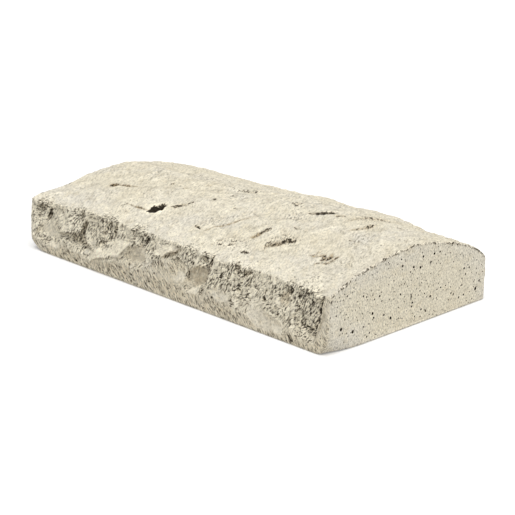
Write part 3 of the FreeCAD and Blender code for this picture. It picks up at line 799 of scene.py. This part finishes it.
class Nodes:
    """Short words for building a node tree. A value or a colour is a link or plain numbers."""

    def __init__(self, name):
        self.material = bpy.data.materials.new(name)
        self.material.use_nodes = True
        self.tree = self.material.node_tree
        self.shader = self.tree.nodes["Principled BSDF"]

    def add(self, kind, **values):
        node = self.tree.nodes.new(kind)
        for name, value in values.items():
            setattr(node, name, value)
        return node

    def feed(self, socket, value):
        if isinstance(value, tuple):
            socket.default_value = (*value, 1.0)
        elif isinstance(value, (int, float)):
            socket.default_value = value
        else:
            self.tree.links.new(value, socket)

    def attribute(self, name):
        return self.add("ShaderNodeAttribute", attribute_name=name).outputs["Fac"]

    def placed(self, size, stretch=(1, 1, 1), lean=0, turn=0):
        """The stone's coordinates in units of a size in millimetres, stretched along axes that lean
        (degrees) from the stone's length up towards its height, or turn about the upright."""
        mapping = self.add("ShaderNodeMapping", vector_type="TEXTURE")
        mapping.inputs["Rotation"].default_value = (0, -math.radians(lean), math.radians(turn))
        mapping.inputs["Scale"].default_value = [size * MM * share for share in stretch]
        self.feed(mapping.inputs["Vector"], self.add("ShaderNodeTexCoord").outputs["Object"])
        return mapping.outputs["Vector"]

    def noise(self, size, detail=2.0, roughness=0.5, stretch=(1, 1, 1), lean=0, turn=0):
        """Noise with features of a size, stretched and turned as its coordinates are."""
        node = self.add("ShaderNodeTexNoise")
        for name, value in (("Scale", 1.0), ("Detail", detail), ("Roughness", roughness)):
            node.inputs[name].default_value = value
        self.feed(node.inputs["Vector"], self.placed(size, stretch, lean, turn))
        return node.outputs["Fac"]

    def cells(self, feature, place):
        """A feature of the cells round scattered points, at a place in units of their spacing."""
        node = self.add("ShaderNodeTexVoronoi", feature=feature)
        node.inputs["Scale"].default_value = 1.0
        self.feed(node.inputs["Vector"], place)
        return node.outputs

    def ramp(self, value, low, high, start=0.0, end=1.0):
        """A value taken from one range to another, held at the ends."""
        node = self.add("ShaderNodeMapRange", clamp=True)
        for name, number in (("From Min", low), ("From Max", high), ("To Min", start), ("To Max", end)):
            node.inputs[name].default_value = number
        self.feed(node.inputs["Value"], value)
        return node.outputs["Result"]

    def math(self, operation, a, b):
        node = self.add("ShaderNodeMath", operation=operation)
        self.feed(node.inputs[0], a)
        self.feed(node.inputs[1], b)
        return node.outputs["Value"]

    def mix(self, share, a, b, kind="RGBA"):
        """Two colours, or two values if the kind is FLOAT, mixed by a share."""
        node = self.add("ShaderNodeMix", data_type=kind)
        wanted = {"RGBA": "RGBA", "FLOAT": "VALUE"}[kind]
        pair = [socket for socket in node.inputs if socket.type == wanted and socket.name in ("A", "B")]
        self.feed(node.inputs["Factor"], share)
        self.feed(pair[0], a)
        self.feed(pair[1], b)
        return next(socket for socket in node.outputs if socket.type == wanted)

    def shade(self, colour, value):
        """A colour made lighter or darker by a value."""
        node = self.add("ShaderNodeVectorMath", operation="SCALE")
        self.feed(node.inputs["Vector"], colour)
        self.feed(node.inputs["Scale"], value)
        return node.outputs["Vector"]

    def bump(self, height):
        """A surface roughened by a height in millimetres."""
        node = self.add("ShaderNodeBump")
        node.inputs["Strength"].default_value = 1.0
        node.inputs["Distance"].default_value = MM
        self.feed(node.inputs["Height"], height)
        return node.outputs["Normal"]


# Colours of the stone and of the floor, and how much of the floor's white it gives off to the camera.
CREAM = (0.755, 0.694, 0.55)
PALE = (0.742, 0.697, 0.594)
BUFF = (0.66, 0.58, 0.42)
# Painted highlight for crests and ledges, also most of the broken rock faces' colour, paler to stand in for
# the light they lack.
PAINTED_HIGHLIGHT = (0.88, 0.815, 0.65)
# Painted shade in hollows, at the feet of ledges and in dents, cracks and strokes.
SHADE = (0.36, 0.31, 0.225)
BROWN = (0.33, 0.245, 0.135)
# Painted black shade for pores, holes, cracks and the deepest strokes.
DEEP_SHADE = (0.05, 0.039, 0.026)
FLOOR_BOUNCE = (0.7, 0.7, 0.7)
FLOOR_SEEN = (0.97, 0.97, 0.97)
FLOOR_GLOW = 0.12


def stone_material():
    """Buff cast stone: cream and grey patches, sandy grain and brown stains, with painted highlight on
    crests and ledges and painted shade in hollows, cracks and holes that breaks up into strokes. The broken
    rock faces are painted paler, standing in for light they lack. The strokes run across the top, lean on
    the rock faces, where chips break them up, and fall on the margins, which have pores painted black as
    shade, like the ends."""
    n = Nodes("buff_cast_stone")
    dark, brown, rough, rock, tone, warm = (n.attribute(name) for name in FIELDS)
    patches = n.ramp(n.noise(70, 2), 0.35, 0.65, -0.35, 0.35)
    colour = n.mix(n.ramp(n.math("ADD", warm, patches), 0.0, 1.0), PALE, CREAM)
    mottles = n.noise(8, 3, 0.6, (1, 2.6, 1), turn=GRAIN_TURN)
    colour = n.mix(n.ramp(mottles, 0.5, 0.72, 0.0, 0.5), colour, BUFF)
    across = n.noise(1.8, 2, 0.6, (1, 3.2, 1), turn=GRAIN_TURN)
    steep, flatter = (n.noise(1.35, 2, 0.5, (4.2, 1, 1), lean) for lean in (60, 25))
    leaning = n.mix(n.ramp(n.noise(14, 1), 0.5, 0.6), steep, flatter, "FLOAT")
    falling = n.noise(1.5, 2, 0.6, (3.2, 1, 1), -50)
    chip = n.placed(4.2, (2.2, 1, 1), 55)
    breaks = n.ramp(n.cells("DISTANCE_TO_EDGE", chip)["Distance"], 0.02, 0.2, 1.0, 0.0)
    chipped = n.mix(0.5, breaks, n.cells("F1", chip)["Color"], "FLOAT")
    hewn = n.ramp(n.mix(0.42, n.ramp(leaning, 0.36, 0.65), chipped, "FLOAT"), 0.16, 0.83)
    soft, crisp = n.ramp(across, 0.24, 0.76), n.ramp(across, 0.38, 0.64)
    sandy = n.mix(n.ramp(dark, 0.15, 0.4), soft, crisp, "FLOAT")
    soft, crisp = n.ramp(falling, 0.31, 0.7), n.ramp(falling, 0.38, 0.63)
    fine = n.mix(n.ramp(dark, 0.05, 0.15), soft, crisp, "FLOAT")
    plain = n.mix(rough, fine, sandy, "FLOAT")
    # Crests and ledges lose some of their strokes, as part of their painted highlight.
    strokes = n.math("SUBTRACT", n.mix(rock, plain, hewn, "FLOAT"), n.ramp(tone, 0.1, 1.0, 0.0, 0.3))
    # The broken rock faces are mostly painted in the highlight colour, paler to stand in for the light they
    # lack.
    colour = n.mix(n.ramp(rock, 0.0, 1.0, 0.0, 0.75), colour, PAINTED_HIGHLIGHT)
    # Painted highlight on crests and ledges, and painted shade in hollows and at the feet of ledges.
    colour = n.mix(n.ramp(tone, 0.1, 0.8, 0.0, 0.85), colour, PAINTED_HIGHLIGHT)
    colour = n.mix(n.ramp(tone, -0.9, -0.1, 0.55, 0.0), colour, SHADE)
    colour = n.mix(n.math("MULTIPLY", brown, n.ramp(n.noise(5, 2), 0.3, 0.55, 0.3, 1.0)), colour, BROWN)
    colour = n.shade(colour, n.ramp(strokes, -0.2, 1.0, 1.48, 0.64))
    # Painted shade where black marks and strokes add up: in dents, cracks, hollows, pits and holes.
    depth = n.math("ADD", n.math("MULTIPLY", dark, 0.9), strokes)
    colour = n.mix(n.ramp(depth, 0.76, 1.2, 0.0, 0.75), colour, SHADE)
    # Pores on the plain faces and the deepest marks are painted black as shade.
    spots = n.cells("F1", n.placed(5.0))["Distance"]
    pores = n.math("MULTIPLY", n.ramp(spots, 0.13, 0.18, 1.0, 0.0), n.ramp(rough, 0.0, 0.4, 1.0, 0.0))
    colour = n.mix(n.math("MAXIMUM", pores, n.ramp(depth, 0.98, 1.3)), colour, DEEP_SHADE)
    n.feed(n.shader.inputs["Base Color"], colour)
    n.shader.inputs["Roughness"].default_value = 0.92
    n.shader.inputs["Specular IOR Level"].default_value = 0.25
    height = n.math("MULTIPLY", strokes, n.ramp(rough, 0, 1, -0.25, -0.7))
    n.feed(n.shader.inputs["Normal"], n.bump(height))
    return n.material


def floor_material():
    """White to the camera, where its colour takes in the shadow, and a plain grey bounce."""
    n = Nodes("pale_floor")
    ray = n.add("ShaderNodeLightPath").outputs
    passing = n.math("MAXIMUM", ray["Is Glossy Ray"], ray["Is Transmission Ray"])
    seen = n.math("MAXIMUM", ray["Is Camera Ray"], passing)
    n.feed(n.shader.inputs["Base Color"], n.mix(seen, FLOOR_BOUNCE, FLOOR_SEEN))
    n.shader.inputs["Roughness"].default_value = 1.0
    n.shader.inputs["Specular IOR Level"].default_value = 0.0
    n.shader.inputs["Emission Color"].default_value = (1.0, 1.0, 1.0, 1.0)
    n.feed(n.shader.inputs["Emission Strength"], n.ramp(seen, 0.0, 1.0, 0.0, FLOOR_GLOW))
    return n.material


# Stage


def make_floor():
    half = 12.0
    mesh = bpy.data.meshes.new("floor")
    corners = [(-half, -half, 0), (half, -half, 0), (half, half, 0), (-half, half, 0)]
    mesh.from_pydata(corners, [], [(0, 1, 2, 3)])
    mesh.materials.append(floor_material())
    floor = bpy.data.objects.new("floor", mesh)
    bpy.context.scene.collection.objects.link(floor)


def make_lights():
    sun = bpy.data.lights.new("soft_key", "SUN")
    sun.energy = 1.47
    sun.angle = math.radians(45)
    lamp = bpy.data.objects.new("soft_key", sun)
    toward = Vector((0.15, -0.19, 0.97))
    lamp.rotation_euler = toward.to_track_quat("Z", "Y").to_euler()
    bpy.context.scene.collection.objects.link(lamp)
    world = bpy.data.worlds.new("studio")
    world.use_nodes = True
    background = world.node_tree.nodes["Background"]
    background.inputs["Color"].default_value = (1.0, 1.0, 1.0, 1.0)
    tree = world.node_tree
    facing = tree.nodes.new("ShaderNodeVectorMath")
    facing.operation = "DOT_PRODUCT"
    facing.inputs[1].default_value = (0.75, -0.1, 0.65)
    glow = tree.nodes.new("ShaderNodeMapRange")
    for name, value in (("From Min", -1.0), ("From Max", 1.0), ("To Min", 0.05), ("To Max", 0.85)):
        glow.inputs[name].default_value = value
    tree.links.new(tree.nodes.new("ShaderNodeTexCoord").outputs["Generated"], facing.inputs[0])
    tree.links.new(facing.outputs["Value"], glow.inputs["Value"])
    tree.links.new(glow.outputs["Result"], background.inputs["Strength"])
    bpy.context.scene.world = world


def make_camera():
    """The photograph's camera, from its angles, distance and aim."""
    azimuth, elevation, roll = (math.radians(angle) for angle in (AZIMUTH, ELEVATION, ROLL))
    back = Vector((math.sin(azimuth) * math.cos(elevation), -math.cos(azimuth) * math.cos(elevation),
                   math.sin(elevation)))
    right = Vector((math.cos(azimuth), math.sin(azimuth), 0))
    up = back.cross(right)
    side = right * math.cos(roll) + up * math.sin(roll)
    head = up * math.cos(roll) - right * math.sin(roll)
    camera = bpy.data.cameras.new("camera")
    camera.sensor_width = 36.0
    camera.lens = camera.sensor_width * FOCAL_PIXELS / FRAME_PIXELS
    camera.clip_end = 100.0
    eye = bpy.data.objects.new("camera", camera)
    place = (back * DISTANCE + side * SIDEWAYS + head * UPWARDS) * MM
    eye.matrix_world = Matrix.Translation(place) @ Matrix((side, head, back)).transposed().to_4x4()
    bpy.context.scene.collection.objects.link(eye)
    bpy.context.scene.camera = eye


make_stone()
make_floor()
make_lights()
make_camera()
bpy.context.scene.view_settings.view_transform = "Standard"
